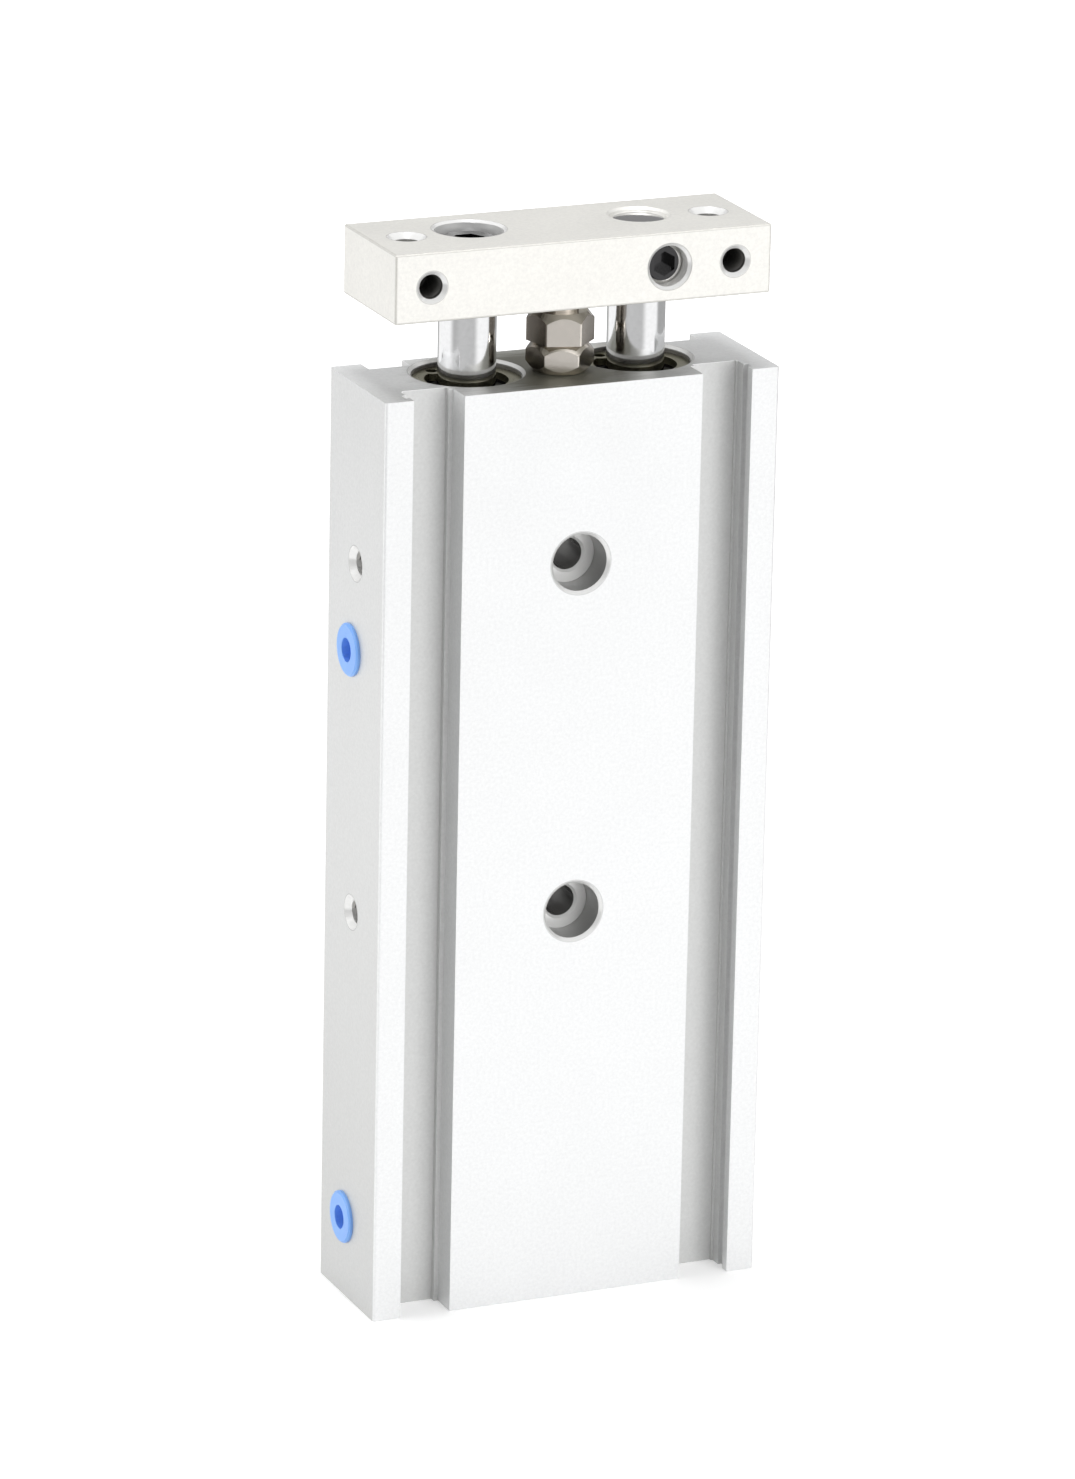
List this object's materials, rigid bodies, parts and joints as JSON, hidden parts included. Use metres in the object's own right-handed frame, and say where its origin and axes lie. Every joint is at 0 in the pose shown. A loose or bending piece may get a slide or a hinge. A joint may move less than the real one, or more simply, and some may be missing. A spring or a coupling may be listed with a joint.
{
  "type": "guided pneumatic cylinder",
  "caption": "Compact guided pneumatic cylinder: parallel piston rods in an extruded housing carry an end plate that slides along the stroke, with a stopper bolt between the rods.",
  "frame": {"origin": "centre of the housing's lower end face", "axes": "+Z along the stroke towards the end plate, +X across the two rods, -Y out of the front face with the deep sensor grooves"},
  "size_m": [0.0586, 0.02, 0.152],
  "materials": {
    "anodised_housing": "clear anodised, fine satin",
    "anodised_plate": "clear anodised, fine satin",
    "chromed_rod": "ground and hard chromed",
    "nickel_steel": "nickel plated, bright",
    "black_steel": "black oxide, oiled",
    "spring_steel": "phosphated",
    "bearing_alloy": "turned",
    "piston_alloy": "turned",
    "seal_rubber": "matte",
    "urethane": "matte",
    "magnet": "sintered",
    "blue_cap": "soft moulded"
  },
  "bodies": {
    "cylinder": {"housing": "anodised_housing", "rod_cover_left": "bearing_alloy", "rod_seal_left": "seal_rubber", "rod_cover_o_ring_left": "seal_rubber", "rod_end_ring_left": "spring_steel", "rod_end_bumper_left": "urethane", "head_cover_left": "bearing_alloy", "head_cover_o_ring_left": "seal_rubber", "head_end_ring_left": "spring_steel", "head_end_bumper_left": "urethane", "rod_cover_right": "bearing_alloy", "rod_seal_right": "seal_rubber", "rod_cover_o_ring_right": "seal_rubber", "rod_end_ring_right": "spring_steel", "rod_end_bumper_right": "urethane", "head_cover_right": "bearing_alloy", "head_cover_o_ring_right": "seal_rubber", "head_end_ring_right": "spring_steel", "head_end_bumper_right": "urethane", "port_cap_rod_end": "blue_cap", "port_plug_rod_end": "nickel_steel", "port_cap_head_end": "blue_cap", "port_plug_head_end": "nickel_steel"},
    "rod_assembly": {"end_plate": "anodised_plate", "rod_screw": "black_steel", "rod_set_screw": "black_steel", "stopper_bolt": "nickel_steel", "stopper_pad": "urethane", "stopper_lock_nut": "nickel_steel", "piston_rod_left": "chromed_rod", "piston_left": "piston_alloy", "piston_seal_left": "seal_rubber", "piston_magnet_left": "magnet", "piston_rod_right": "chromed_rod", "piston_right": "piston_alloy", "piston_seal_right": "seal_rubber", "piston_magnet_right": "magnet"}
  },
  "joints": [
    {"name": "rod_slide", "type": "slide", "parent": "cylinder", "child": "rod_assembly", "axis": [0, 0, 1], "range_m": [0, 0.075]}
  ]
}
